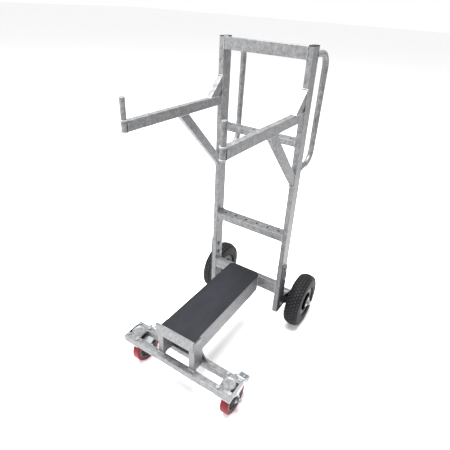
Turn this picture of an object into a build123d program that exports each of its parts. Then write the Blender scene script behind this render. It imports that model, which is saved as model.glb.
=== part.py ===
"""Two-wheeled cart with a pair of carrying arms, a low deck and a castered foot.

Millimetres, +Z up, -Y towards the arms, X = 0 is the plane of symmetry.
The origin is on the ground at the middle of the cart's footprint.
"""
from build123d import *
from math import asin, atan2, cos, degrees, radians, sin, sqrt
import os

os.makedirs("parts", exist_ok=True)

SIDES = (("left", -1), ("right", 1))

# ---------------------------------------------------------------- driving sizes
# upright frame
FRONT_Y = 104.0            # front face of the uprights, behind the middle of the footprint
FRAME_WIDTH = 350.0        # over the outer faces of the uprights
UPRIGHT_FOOT = 141.5       # lower end of the uprights above the ground
UPRIGHT_TOP = 1222.0
TUBE_W = 20.0              # upright, arm and strut tube, across X
TUBE_D = 50.0              # upright and rung tube, along Y
TUBE_WALL = 2.0
CAP_FLANGE = 2.5           # plastic plugs in the upright ends
CAP_DEPTH = 16.0
CAP_CLEARANCE = 0.1
TOP_BEAM_H = 40.0
UPPER_RUNG_TOP = 917.0
UPPER_RUNG_H = 20.0
LOWER_RUNG_TOP = 531.0
LOWER_RUNG_H = 30.0
RUNG_HOLE_D = 10.0
RUNG_HOLE_PITCH = 51.0
RUNG_HOLES = 6
CROSSBAR_TOP = 289.0
CROSSBAR_H = 45.0
CROSSBAR_D = 25.0

# arms
ARM_LENGTH = 475.0         # upright front face to the post axis
ARM_TOP = 1024.0
ARM_H = 32.0
POST_D = 16.0
POST_RISE = 65.0           # above the arm
POST_STEP = 0.5            # thicker round the part held in the arm
POST_TIP = 1.0             # chamfer of the post's free end
BRACE_REACH = 240.0        # brace foot on the arm, from the uprights
BRACE_FOOT = 748.0         # lower end on the uprights
BRACE_DEPTH = 32.0
BRACE_W = 17.0
STRUT_REACH = 72.0         # strut foot on the arm, from the uprights
STRUT_RISE = 70.0          # strut head on the uprights, above the arm

# handles
HANDLE_D = 22.0
HANDLE_WALL = 2.0
HANDLE_TOP = 1196.0
HANDLE_FOOT = 805.0
HANDLE_REACH_TOP = 158.0   # behind the upright front face
HANDLE_REACH_FOOT = 148.0
HANDLE_BEND = 50.0

# rear axle and wheels
WHEEL_D = 250.0
WHEEL_W = 70.0
AXLE_BACK = 159.0          # axle behind the upright front face
AXLE_D = 20.0
AXLE_STUB_D = 12.0
AXLE_STUB_LENGTH = 16.5
AXLE_TUBE_D = 48.0
AXLE_TUBE_WALL = 3.0
AXLE_END_DISC = 6.0
AXLE_SIDE_PLAY = 0.5
AXLE_FIT = 0.05            # radial clearance of the bearings on the axle
BRACKET_T = 4.0
BRACKET_FRONT_TOP = 395.0
BRACKET_REAR_TOP = 370.0
BRACKET_ARM_TOP = 200.0
BRACKET_BOSS_R = 32.0
BRACKET_BOLT_Z = (175.0, 315.0, 360.0)
BRACKET_KNEE = 66.0        # where the lower edge turns down to the axle boss
SPACER_D = 30.0
SPACER_LENGTH = 10.5
HUB_LENGTH = 70.0
HUB_D = 52.0
RIM_FLANGE_D = 128.0
RIM_BARREL_D = 100.0
RIM_WIDTH = 54.0
RIM_WALL = 4.0
HUB_BORE_CLEARANCE = 4.0
BEARING_D = 42.0
BEARING_W = 12.0
TREAD_T = 12.0
TREAD_SHOULDER = 29.0      # half width of the tread face
TREAD_DROP = 9.0           # shoulder below the crown of the tread
TYRE_BEAD_W = 11.0
INNER_TUBE_GAP = 0.5
INNER_TUBE_WALL = 2.0
VALVE_D = 6.0
VALVE_FIT = 0.2
VALVE_LENGTH = 28.0
VALVE_OFFSET = 8.0        # beside the wheel's middle plane, outwards
WASHER_D = 36.0
WASHER_T = 3.0
AXLE_NUT_AF = 19.0
AXLE_NUT_H = 10.0

# deck
DECK_WIDTH = 145.0
DECK_OVERLAP = 8.0         # deck behind the front face of the uprights
DECK_BOARD_T = 8.0
DECK_GRIP_T = 4.5
DECK_CORNER = 14.0
RAIL_W = 25.0
RAIL_H = 75.0
RAIL_INSET = 3.0           # deck edge over the rail's outer face
LEG_W = 25.0
LEG_D = 50.0
LEG_STEP = 13.5            # leg's outer face beyond the rail's
LEG_FRONT = 475.0          # leg front face, ahead of the uprights
LIP_OVERHANG = 1.0         # lip beyond the legs, each side
LIP_H = 45.0
LIP_T = 9.0
LIP_RISE = 14.0            # lip above the deck surface
SCREW_D = 6.0
SCREW_HEAD_D = 11.0
SCREW_HEAD_H = 3.0
SCREW_LENGTH = 24.0
SCREW_INSET = 20.0

# castered foot
FOOT_LENGTH = 490.0        # along X, over the end strips
BEAM_SIDE = 25.0
BEAM_GAP = 42.0            # window between the two beams
FOOT_FRONT = 492.0         # front face of the front beam, ahead of the uprights
END_STRIP_T = 3.0
CARRIER_T = 4.0
CARRIER_INNER = 25.0       # carrier plate edges, from the swivel axis
CARRIER_OUTER = 18.0
DOME_D = 54.0
DOME_H = 3.0
DOME_BORE = 34.0
GUSSET_T = 6.0
GUSSET_REACH = 56.0
GUSSET_RISE = 57.0

# casters
CASTER_X = 212.0
CASTER_TRAIL = 33.0
CASTER_D = 125.0
CASTER_W = 33.0
CASTER_CORE_D = 96.0
CASTER_PLATE_T = 4.0
CASTER_PLATE_X = 66.0
CASTER_BOLT_X = 48.0
CASTER_AXLE_D = 10.0
CASTER_BEARING_D = 26.0
CASTER_BEARING_W = 8.0
CASTER_HUB_D = 36.0
CASTER_HUB_W = 37.4
FORK_INSIDE = 39.0
FORK_T = 3.0
CROWN_GAP = 6.0            # fork crown over the wheel
CROWN_T = 3.5
CROWN_D = 66.0
RACE_R = 24.0              # ball circle
BALL_D = 5.0
BALL_COUNT = 14
BALL_FIT = 0.3
RACE_GAP = 3.0
RACE_BOSS = 1.5
KINGPIN_D = 12.0
KINGPIN_FIT = 0.05
KINGPIN_HEAD_D = 22.0
KINGPIN_HEAD_H = 3.5
PEDAL_PIVOT_GAP = 8.6      # pedal pivot outside the tread
PEDAL_PIVOT_ANGLE = 44.0   # above level, behind the caster axle
PEDAL_PIN_D = 6.0
PEDAL_PIN_FIT = 0.05
PEDAL_EAR_R = 8.0
PEDAL_W = 36.0
PEDAL_PAD_W = 46.0
PEDAL_LENGTH = 34.0
PEDAL_T = 3.0

# fasteners
BOLT_D = 8.0
BOLT_FIT = 0.2             # radial clearance of the bolt holes
BOLT_AF = 13.0
BOLT_HEAD_H = 5.3
NUT_H = 8.0
INSERT_Z = LOWER_RUNG_TOP + 16.0
INSERT_FLANGE_D = 15.0
INSERT_FLANGE_T = 1.5
INSERT_D = 11.0
INSERT_LENGTH = 14.0

# ---------------------------------------------------------------- derived places
HALF_WIDTH = FRAME_WIDTH / 2
INNER_X = HALF_WIDTH - TUBE_W
UPRIGHT_X = HALF_WIDTH - TUBE_W / 2
UPRIGHT_Y = FRONT_Y + TUBE_D / 2
REAR_Y = FRONT_Y + TUBE_D
AXLE_Y = FRONT_Y + AXLE_BACK
AXLE_Z = WHEEL_D / 2
BRACKET_OUT = HALF_WIDTH + BRACKET_T
WHEEL_X = BRACKET_OUT + SPACER_LENGTH + AXLE_SIDE_PLAY + HUB_LENGTH / 2
AXLE_END = WHEEL_X + HUB_LENGTH / 2 + AXLE_SIDE_PLAY
RAIL_OUTER_X = DECK_WIDTH / 2 - RAIL_INSET
LEG_OUTER_X = RAIL_OUTER_X + LEG_STEP
LIP_WIDTH = 2 * (LEG_OUTER_X + LIP_OVERHANG)
CROWN_BOTTOM = CASTER_D + CROWN_GAP
CROWN_TOP = CROWN_BOTTOM + CROWN_T
RACE_BOTTOM = CROWN_TOP + RACE_GAP
PLATE_BOTTOM = RACE_BOTTOM + RACE_BOSS
BALL_Z = (RACE_BOTTOM + CROWN_TOP) / 2
FOOT_BOTTOM = PLATE_BOTTOM + CASTER_PLATE_T
FOOT_TOP = FOOT_BOTTOM + BEAM_SIDE
FOOT_FRONT_Y = FRONT_Y - FOOT_FRONT
FOOT_DEPTH = 2 * BEAM_SIDE + BEAM_GAP
FOOT_Y = FOOT_FRONT_Y + FOOT_DEPTH / 2
BEAM_PITCH = BEAM_SIDE + BEAM_GAP
LEG_FRONT_Y = FRONT_Y - LEG_FRONT
LEG_REAR_Y = LEG_FRONT_Y + LEG_D
DECK_TOP = CROSSBAR_TOP + DECK_BOARD_T + DECK_GRIP_T
DECK_LENGTH = LEG_FRONT + DECK_OVERLAP
CASTER_AXLE_Y = FOOT_Y + CASTER_TRAIL
CASTER_AXLE_Z = CASTER_D / 2


# ---------------------------------------------------------------- helpers
def save(piece, label):
    """Label a finished piece and write it out."""
    piece.part.label = label
    export_step(piece.part, f"parts/{label}.step")


def tube_section(width, height, wall):
    """Hollow rectangular section with lightly rounded outer corners."""
    Rectangle(width, height)
    fillet(vertices(), radius=wall * 0.75)
    Rectangle(width - 2 * wall, height - 2 * wall, mode=Mode.SUBTRACT)


def tangent_point(outside, centre, radius, turn):
    """Point where the line from outside touches the circle; turn is +1 or -1."""
    dy, dz = outside[0] - centre[0], outside[1] - centre[1]
    reach = sqrt(dy * dy + dz * dz)
    angle = atan2(dz, dy) + turn * (radians(90) - asin(radius / reach))
    return centre[0] + radius * cos(angle), centre[1] + radius * sin(angle)


def side_plane(x):
    """Plane square to X: local x runs along +Y, local y along +Z, normal +X."""
    return Plane(origin=(x, 0, 0), x_dir=(0, 1, 0), z_dir=(1, 0, 0))


# ---------------------------------------------------------------- upright frame
for side, sign in SIDES:
    with BuildPart() as upright:
        with BuildSketch(Plane.XY.offset(UPRIGHT_FOOT)):
            with Locations((sign * UPRIGHT_X, UPRIGHT_Y)):
                tube_section(TUBE_W, TUBE_D, TUBE_WALL)
        extrude(amount=UPRIGHT_TOP - UPRIGHT_FOOT)
        with BuildSketch(side_plane(sign * UPRIGHT_X)):
            with Locations(*[(UPRIGHT_Y, z) for z in BRACKET_BOLT_Z]):
                Circle(BOLT_D / 2 + BOLT_FIT)
        extrude(amount=TUBE_W, both=True, mode=Mode.SUBTRACT)
        with BuildSketch(side_plane(sign * INNER_X)):
            with Locations((UPRIGHT_Y, INSERT_Z)):
                Circle(INSERT_D / 2)
        extrude(amount=sign * TUBE_WALL, mode=Mode.SUBTRACT)
    save(upright, f"upright_{side}")

with BuildPart() as upright_caps:
    for side, sign in SIDES:
        for end, inward in ((UPRIGHT_TOP, -1), (UPRIGHT_FOOT, 1)):
            with BuildSketch(Plane.XY.offset(end)):
                with Locations((sign * UPRIGHT_X, UPRIGHT_Y)):
                    RectangleRounded(TUBE_W, TUBE_D, TUBE_WALL)
            extrude(amount=-inward * CAP_FLANGE)
            with BuildSketch(Plane.XY.offset(end)):
                with Locations((sign * UPRIGHT_X, UPRIGHT_Y)):
                    slack = 2 * (TUBE_WALL + CAP_CLEARANCE)
                    Rectangle(TUBE_W - slack, TUBE_D - slack)
            extrude(amount=inward * CAP_DEPTH)
save(upright_caps, "upright_caps")

with BuildPart() as top_beam:
    with BuildSketch(side_plane(-INNER_X)):
        with Locations((FRONT_Y + TUBE_W / 2, UPRIGHT_TOP - TOP_BEAM_H / 2)):
            tube_section(TUBE_W, TOP_BEAM_H, TUBE_WALL)
    extrude(amount=2 * INNER_X)
save(top_beam, "top_beam")

for label, top, height in (
    ("upper_rung", UPPER_RUNG_TOP, UPPER_RUNG_H),
    ("lower_rung", LOWER_RUNG_TOP, LOWER_RUNG_H),
):
    with BuildPart() as rung:
        with BuildSketch(side_plane(-INNER_X)):
            with Locations((UPRIGHT_Y, top - height / 2)):
                tube_section(TUBE_D, height, TUBE_WALL)
        extrude(amount=2 * INNER_X)
        with BuildSketch(Plane.XY.offset(top)):
            with Locations((0, UPRIGHT_Y)):
                with GridLocations(RUNG_HOLE_PITCH, 0, RUNG_HOLES, 1):
                    Circle(RUNG_HOLE_D / 2)
        extrude(amount=-height, mode=Mode.SUBTRACT)
    save(rung, label)

with BuildPart() as bottom_crossbar:
    with BuildSketch(side_plane(-INNER_X)):
        with Locations((FRONT_Y + CROSSBAR_D / 2, CROSSBAR_TOP - CROSSBAR_H / 2)):
            tube_section(CROSSBAR_D, CROSSBAR_H, TUBE_WALL)
    extrude(amount=2 * INNER_X)
save(bottom_crossbar, "bottom_crossbar")

# ---------------------------------------------------------------- arms
ARM_BOTTOM = ARM_TOP - ARM_H
POST_Y = FRONT_Y - ARM_LENGTH
for side, sign in SIDES:
    with BuildPart() as arm:
        with BuildSketch(Plane.XZ.offset(-FRONT_Y)):
            with Locations((sign * UPRIGHT_X, ARM_TOP - ARM_H / 2)):
                tube_section(TUBE_W, ARM_H, TUBE_WALL)
        extrude(amount=ARM_LENGTH - POST_D / 4)
        with BuildSketch(Plane.XY.offset(ARM_BOTTOM)):
            with Locations((sign * UPRIGHT_X, POST_Y)):
                Circle(POST_D / 2 + POST_STEP)
        extrude(amount=ARM_H, mode=Mode.SUBTRACT)
    save(arm, f"arm_{side}")

with BuildPart() as arm_posts:
    for radius, height in ((POST_D / 2 + POST_STEP, ARM_H), (POST_D / 2, ARM_H + POST_RISE)):
        with BuildSketch(Plane.XY.offset(ARM_BOTTOM)):
            with Locations((-UPRIGHT_X, POST_Y), (UPRIGHT_X, POST_Y)):
                Circle(radius)
        extrude(amount=height)
    tips = arm_posts.edges().filter_by(GeomType.CIRCLE).group_by(Axis.Z)[-1]
    chamfer(tips, length=POST_TIP)
save(arm_posts, "arm_posts")


def slant_corners(reach, arm_z, rise, near, far):
    """Side outline of a strip across the corner of arm and upright.

    The outer line runs from the arm face, reach ahead of the upright, to the
    upright front, rise above the arm face; near and far are measured from it
    towards the corner.
    """
    angle = atan2(abs(rise), reach)
    way = 1 if rise > 0 else -1
    return (
        (FRONT_Y - reach + near / sin(angle), arm_z),
        (FRONT_Y, arm_z + rise - way * near / cos(angle)),
        (FRONT_Y, arm_z + rise - way * far / cos(angle)),
        (FRONT_Y - reach + far / sin(angle), arm_z),
    )


for label, reach, arm_z, rise, depth, width in (
    ("arm_braces", BRACE_REACH, ARM_BOTTOM, BRACE_FOOT - ARM_BOTTOM, BRACE_DEPTH, BRACE_W),
    ("arm_struts", STRUT_REACH, ARM_TOP, STRUT_RISE, ARM_H, TUBE_W),
):
    with BuildPart() as slants:
        for side, sign in SIDES:
            with BuildSketch(side_plane(sign * UPRIGHT_X)):
                Polygon(*slant_corners(reach, arm_z, rise, 0, depth), align=None)
            extrude(amount=width / 2, both=True)
            with BuildSketch(side_plane(sign * UPRIGHT_X)):
                Polygon(*slant_corners(reach, arm_z, rise, TUBE_WALL, depth - TUBE_WALL),
                        align=None)
            extrude(amount=width / 2 - TUBE_WALL, both=True, mode=Mode.SUBTRACT)
    save(slants, label)

# ---------------------------------------------------------------- push handles
for side, sign in SIDES:
    with BuildPart() as handle:
        with BuildLine(side_plane(sign * UPRIGHT_X)) as grip_path:
            FilletPolyline(
                (REAR_Y, HANDLE_TOP),
                (FRONT_Y + HANDLE_REACH_TOP, HANDLE_TOP),
                (FRONT_Y + HANDLE_REACH_FOOT, HANDLE_FOOT),
                (REAR_Y, HANDLE_FOOT),
                radius=HANDLE_BEND,
            )
        with BuildSketch(Plane(origin=(sign * UPRIGHT_X, REAR_Y, HANDLE_TOP), z_dir=(0, 1, 0))):
            Circle(HANDLE_D / 2)
            Circle(HANDLE_D / 2 - HANDLE_WALL, mode=Mode.SUBTRACT)
        sweep(path=grip_path.wires()[0])
    save(handle, f"handle_{side}")

# ---------------------------------------------------------------- rear axle
boss = (AXLE_Y, AXLE_Z)
knee = (FRONT_Y + BRACKET_KNEE, UPRIGHT_FOOT)
shoulder = (REAR_Y, BRACKET_ARM_TOP)
under_boss = tangent_point(knee, boss, BRACKET_BOSS_R, 1)
over_boss = tangent_point(shoulder, boss, BRACKET_BOSS_R, -1)

for side, sign in SIDES:
    with BuildPart() as axle_bracket:
        with BuildSketch(side_plane(sign * HALF_WIDTH)):
            with BuildLine():
                Polyline(
                    (FRONT_Y, UPRIGHT_FOOT),
                    knee,
                    under_boss,
                    boss,
                    over_boss,
                    shoulder,
                    (REAR_Y, BRACKET_REAR_TOP),
                    (FRONT_Y, BRACKET_FRONT_TOP),
                    close=True,
                )
            make_face()
            with Locations(boss):
                Circle(BRACKET_BOSS_R)
                Circle(AXLE_D / 2, mode=Mode.SUBTRACT)
            with Locations(*[(UPRIGHT_Y, z) for z in BRACKET_BOLT_Z]):
                Circle(BOLT_D / 2 + BOLT_FIT, mode=Mode.SUBTRACT)
        extrude(amount=sign * BRACKET_T)
    save(axle_bracket, f"axle_bracket_{side}")

with BuildPart() as axle_tube:
    with BuildSketch(side_plane(-HALF_WIDTH)):
        with Locations(boss):
            Circle(AXLE_TUBE_D / 2)
            Circle(AXLE_D / 2, mode=Mode.SUBTRACT)
    extrude(amount=FRAME_WIDTH)
    with BuildSketch(side_plane(-HALF_WIDTH + AXLE_END_DISC)):
        with Locations(boss):
            Circle(AXLE_TUBE_D / 2 - AXLE_TUBE_WALL)
    extrude(amount=FRAME_WIDTH - 2 * AXLE_END_DISC, mode=Mode.SUBTRACT)
save(axle_tube, "axle_tube")

with BuildPart() as rear_axle:
    with BuildSketch(side_plane(-AXLE_END)):
        with Locations(boss):
            Circle(AXLE_D / 2)
    extrude(amount=2 * AXLE_END)
    with BuildSketch(side_plane(-AXLE_END - AXLE_STUB_LENGTH)):
        with Locations(boss):
            Circle(AXLE_STUB_D / 2)
    extrude(amount=2 * (AXLE_END + AXLE_STUB_LENGTH))
    tips = rear_axle.edges().filter_by(GeomType.CIRCLE).sort_by(Axis.X)
    chamfer([tips[0], tips[-1]], length=1.0)
save(rear_axle, "rear_axle")

with BuildPart() as axle_spacers:
    for side, sign in SIDES:
        with BuildSketch(side_plane(sign * BRACKET_OUT)):
            with Locations(boss):
                Circle(SPACER_D / 2)
                Circle(AXLE_D / 2, mode=Mode.SUBTRACT)
        extrude(amount=sign * SPACER_LENGTH)
save(axle_spacers, "axle_spacers")

with BuildPart() as axle_washers:
    for side, sign in SIDES:
        with BuildSketch(side_plane(sign * AXLE_END)):
            with Locations(boss):
                Circle(WASHER_D / 2)
                Circle(AXLE_STUB_D / 2, mode=Mode.SUBTRACT)
        extrude(amount=sign * WASHER_T)
save(axle_washers, "axle_washers")

with BuildPart() as axle_nuts:
    for side, sign in SIDES:
        with BuildSketch(side_plane(sign * (AXLE_END + WASHER_T))):
            with Locations(boss):
                RegularPolygon(AXLE_NUT_AF / 2, 6, major_radius=False)
                Circle(AXLE_STUB_D / 2, mode=Mode.SUBTRACT)
        extrude(amount=sign * AXLE_NUT_H)
save(axle_nuts, "axle_nuts")

# ---------------------------------------------------------------- rear wheels
TYRE_R = WHEEL_D / 2
FLANGE_R = RIM_FLANGE_D / 2
BARREL_R = RIM_BARREL_D / 2
HALF_RIM = RIM_WIDTH / 2
HALF_HUB = HUB_LENGTH / 2
HUB_R = HUB_D / 2
BEAD_OUT = HALF_RIM - RIM_WALL
BEAD_IN = BEAD_OUT - TYRE_BEAD_W
CARCASS_R = TYRE_R - TREAD_T
INNER_TUBE_R = (CARCASS_R - FLANGE_R) / 2 - INNER_TUBE_GAP
INNER_TUBE_CENTRE = (CARCASS_R + FLANGE_R) / 2


def wheel_plane(x, y, z):
    """Plane through a wheel axis: local x is the radius (up), local y runs along the axle."""
    return Plane(origin=(x, y, z), x_dir=(0, 0, 1), z_dir=(0, -1, 0))


for side, sign in SIDES:
    section = wheel_plane(sign * WHEEL_X, AXLE_Y, AXLE_Z)
    spin_axis = Axis((sign * WHEEL_X, AXLE_Y, AXLE_Z), (1, 0, 0))
    valve_x = sign * (WHEEL_X + VALVE_OFFSET)

    with BuildPart() as rear_rim:
        with BuildSketch(section):
            with BuildLine():
                Polyline(
                    (FLANGE_R, HALF_RIM),
                    (FLANGE_R, BEAD_OUT),
                    (BARREL_R, BEAD_OUT),
                    (BARREL_R, 0),
                    (AXLE_D / 2 + HUB_BORE_CLEARANCE, 0),
                    (AXLE_D / 2 + HUB_BORE_CLEARANCE, HALF_HUB - BEARING_W),
                    (BEARING_D / 2, HALF_HUB - BEARING_W),
                    (BEARING_D / 2, HALF_HUB),
                    (HUB_R, HALF_HUB),
                    (HUB_R, RIM_WALL),
                    (BARREL_R - RIM_WALL, RIM_WALL),
                    (BARREL_R - RIM_WALL, HALF_RIM),
                    close=True,
                )
            make_face()
            mirror(about=Plane.XZ)
        revolve(axis=spin_axis)
        with BuildSketch(Plane.XY.offset(AXLE_Z + BARREL_R)):
            with Locations((valve_x, AXLE_Y)):
                Circle(VALVE_D / 2 + VALVE_FIT)
        extrude(amount=-2 * RIM_WALL, mode=Mode.SUBTRACT)
    save(rear_rim, f"rear_rim_{side}")

    with BuildPart() as rear_tyre:
        with BuildSketch(section):
            with BuildLine():
                shoulder_r = TYRE_R - TREAD_DROP
                belly_r = (FLANGE_R + shoulder_r) / 2
                for face in (1, -1):
                    ThreePointArc(
                        (FLANGE_R, face * BEAD_OUT),
                        (belly_r, face * WHEEL_W / 2),
                        (shoulder_r, face * TREAD_SHOULDER),
                    )
                ThreePointArc((shoulder_r, TREAD_SHOULDER), (TYRE_R, 0), (shoulder_r, -TREAD_SHOULDER))
                for face in (1, -1):
                    Polyline(
                        (FLANGE_R, face * BEAD_OUT),
                        (BARREL_R, face * BEAD_OUT),
                        (BARREL_R, face * BEAD_IN),
                        (FLANGE_R, face * BEAD_IN),
                    )
                ThreePointArc((FLANGE_R, BEAD_IN), (CARCASS_R, 0), (FLANGE_R, -BEAD_IN))
            make_face()
        revolve(axis=spin_axis)
    save(rear_tyre, f"rear_tyre_{side}")

    with BuildPart() as inner_tube:
        with BuildSketch(section):
            with Locations((INNER_TUBE_CENTRE, 0)):
                Circle(INNER_TUBE_R)
        revolve(axis=spin_axis)
        drop = INNER_TUBE_CENTRE - sqrt(INNER_TUBE_R**2 - VALVE_OFFSET**2)
        with BuildSketch(Plane.XY.offset(AXLE_Z + drop + 2 * INNER_TUBE_WALL)):
            with Locations((valve_x, AXLE_Y)):
                Circle(VALVE_D / 2)
        extrude(amount=-VALVE_LENGTH - 2 * INNER_TUBE_WALL)
        with BuildSketch(section):
            with Locations((INNER_TUBE_CENTRE, 0)):
                Circle(INNER_TUBE_R - INNER_TUBE_WALL)
        revolve(axis=spin_axis, mode=Mode.SUBTRACT)
    save(inner_tube, f"rear_inner_tube_{side}")

    with BuildPart() as rear_bearings:
        for face, inward in ((HALF_HUB, -1), (-HALF_HUB, 1)):
            with BuildSketch(side_plane(sign * WHEEL_X + face)):
                with Locations(boss):
                    Circle(BEARING_D / 2)
                    Circle(AXLE_D / 2 + AXLE_FIT, mode=Mode.SUBTRACT)
            extrude(amount=inward * BEARING_W)
    save(rear_bearings, f"rear_bearings_{side}")

# ---------------------------------------------------------------- deck
RAIL_X = RAIL_OUTER_X - RAIL_W / 2
RAIL_BOTTOM = CROSSBAR_TOP - RAIL_H
SCREW_Y = (
    FRONT_Y - SCREW_INSET,
    (FRONT_Y + LEG_REAR_Y) / 2,
    LEG_REAR_Y + SCREW_INSET,
)
SCREW_SPOTS = [(sign * RAIL_X, y) for side, sign in SIDES for y in SCREW_Y]


def deck_outline():
    """Deck outline in plan, with the two rear corners cut off."""
    with Locations((0, LEG_FRONT_Y + DECK_LENGTH / 2)):
        Rectangle(DECK_WIDTH, DECK_LENGTH)
    chamfer(vertices().group_by(Axis.Y)[-1], length=DECK_CORNER)


with BuildPart() as deck_board:
    with BuildSketch(Plane.XY.offset(CROSSBAR_TOP)):
        deck_outline()
    extrude(amount=DECK_BOARD_T)
    with BuildSketch(Plane.XY.offset(CROSSBAR_TOP)):
        with Locations(*SCREW_SPOTS):
            Circle(SCREW_D / 2)
    extrude(amount=DECK_BOARD_T, mode=Mode.SUBTRACT)
save(deck_board, "deck_board")

with BuildPart() as deck_grip_sheet:
    with BuildSketch(Plane.XY.offset(CROSSBAR_TOP + DECK_BOARD_T)):
        deck_outline()
    extrude(amount=DECK_GRIP_T)
    with Locations(*[(x, y, DECK_TOP) for x, y in SCREW_SPOTS]):
        CounterSinkHole(SCREW_D / 2, SCREW_HEAD_D / 2, DECK_GRIP_T)
save(deck_grip_sheet, "deck_grip_sheet")

with BuildPart() as deck_screws:
    with BuildSketch(Plane.XY.offset(DECK_TOP - SCREW_LENGTH)):
        with Locations(*SCREW_SPOTS):
            Circle(SCREW_D / 2)
    extrude(amount=SCREW_LENGTH)
    with Locations(*[(x, y, DECK_TOP - SCREW_HEAD_H / 2 + 0.25) for x, y in SCREW_SPOTS]):
        Cone(SCREW_D / 2, SCREW_HEAD_D / 2 - 0.25, SCREW_HEAD_D / 2 - SCREW_D / 2 - 0.25)
save(deck_screws, "deck_screws")

with BuildPart() as deck_rails:
    for side, sign in SIDES:
        with BuildSketch(Plane.XZ.offset(-FRONT_Y)):
            with Locations((sign * RAIL_X, CROSSBAR_TOP - RAIL_H / 2)):
                tube_section(RAIL_W, RAIL_H, TUBE_WALL)
        extrude(amount=FRONT_Y - LEG_REAR_Y)
    with BuildSketch(Plane.XY.offset(CROSSBAR_TOP)):
        with Locations(*SCREW_SPOTS):
            Circle(SCREW_D / 2)
    extrude(amount=-2 * TUBE_WALL, mode=Mode.SUBTRACT)
save(deck_rails, "deck_rails")

with BuildPart() as deck_front_lip:
    with BuildSketch(Plane.XY.offset(DECK_TOP + LIP_RISE)):
        with Locations((0, LEG_FRONT_Y - LIP_T / 2)):
            Rectangle(LIP_WIDTH, LIP_T)
    extrude(amount=-LIP_H)
    fillet(deck_front_lip.edges().filter_by(Axis.Z), radius=1.0)
save(deck_front_lip, "deck_front_lip")

with BuildPart() as legs:
    for side, sign in SIDES:
        leg_x = sign * (LEG_OUTER_X - LEG_W / 2)
        with BuildSketch(Plane.XY.offset(FOOT_TOP)):
            with Locations((leg_x, LEG_FRONT_Y + LEG_D / 2)):
                tube_section(LEG_W, LEG_D, TUBE_WALL)
        extrude(amount=CROSSBAR_TOP - FOOT_TOP)
        with BuildSketch(Plane.XY.offset(CROSSBAR_TOP)):
            with Locations((leg_x, LEG_FRONT_Y + LEG_D / 2)):
                Rectangle(LEG_W - TUBE_WALL, LEG_D - TUBE_WALL)
        extrude(amount=-TUBE_WALL)
save(legs, "legs")

# ---------------------------------------------------------------- castered foot
HALF_FOOT = FOOT_LENGTH / 2
BOLT_SPOTS = [
    (sign * CASTER_X + dx * CASTER_BOLT_X / 2, FOOT_Y + dy * BEAM_PITCH / 2)
    for side, sign in SIDES
    for dx in (-1, 1)
    for dy in (-1, 1)
]

with BuildPart() as foot_beams:
    for dy in (-1, 1):
        with BuildSketch(side_plane(-HALF_FOOT + END_STRIP_T)):
            with Locations((FOOT_Y + dy * BEAM_PITCH / 2, FOOT_TOP - BEAM_SIDE / 2)):
                tube_section(BEAM_SIDE, BEAM_SIDE, TUBE_WALL)
        extrude(amount=FOOT_LENGTH - 2 * END_STRIP_T)
    with BuildSketch(Plane.XY.offset(FOOT_TOP)):
        with Locations(*BOLT_SPOTS):
            Circle(BOLT_D / 2 + BOLT_FIT)
    extrude(amount=-BEAM_SIDE, mode=Mode.SUBTRACT)
save(foot_beams, "foot_beams")

with BuildPart() as foot_end_strips:
    for side, sign in SIDES:
        with BuildSketch(side_plane(sign * HALF_FOOT)):
            with Locations((FOOT_Y, FOOT_TOP - BEAM_SIDE / 2)):
                Rectangle(FOOT_DEPTH, BEAM_SIDE)
        extrude(amount=-sign * END_STRIP_T)
save(foot_end_strips, "foot_end_strips")

with BuildPart() as foot_carrier_plates:
    for side, sign in SIDES:
        with BuildSketch(Plane.XY.offset(FOOT_TOP)):
            with Locations((sign * (CASTER_X + (CARRIER_OUTER - CARRIER_INNER) / 2), FOOT_Y)):
                Rectangle(CARRIER_INNER + CARRIER_OUTER, BEAM_GAP)
        extrude(amount=-CARRIER_T)
        with BuildSketch(Plane.XY.offset(FOOT_TOP)):
            with Locations((sign * CASTER_X, FOOT_Y)):
                Circle(DOME_D / 2)
        extrude(amount=DOME_H, taper=40)
        with BuildSketch(Plane.XY.offset(FOOT_TOP + DOME_H)):
            with Locations((sign * CASTER_X, FOOT_Y)):
                Circle(DOME_BORE / 2)
        extrude(amount=-DOME_H - CARRIER_T, mode=Mode.SUBTRACT)
save(foot_carrier_plates, "foot_carrier_plates")

with BuildPart() as leg_gussets:
    for side, sign in SIDES:
        with BuildSketch(Plane.XZ.offset(-(FOOT_Y + BEAM_PITCH / 2 + GUSSET_T / 2))):
            with BuildLine():
                inner = sign * (RAIL_OUTER_X - RAIL_W)
                outer = sign * RAIL_OUTER_X
                tip = sign * (RAIL_OUTER_X + GUSSET_REACH)
                crest = FOOT_TOP + GUSSET_RISE
                hollow = 1 - cos(radians(45))
                Polyline(
                    (tip, FOOT_TOP),
                    (inner, FOOT_TOP),
                    (inner, RAIL_BOTTOM),
                    (outer, RAIL_BOTTOM),
                    (outer, crest),
                )
                middle = (outer + (tip - outer) * hollow, FOOT_TOP + GUSSET_RISE * hollow)
                ThreePointArc((outer, crest), middle, (tip, FOOT_TOP))
            make_face()
        extrude(amount=GUSSET_T)
save(leg_gussets, "leg_gussets")

# ---------------------------------------------------------------- caster mountings
CASTER_CENTRES = [(sign * CASTER_X, FOOT_Y) for side, sign in SIDES]

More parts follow.
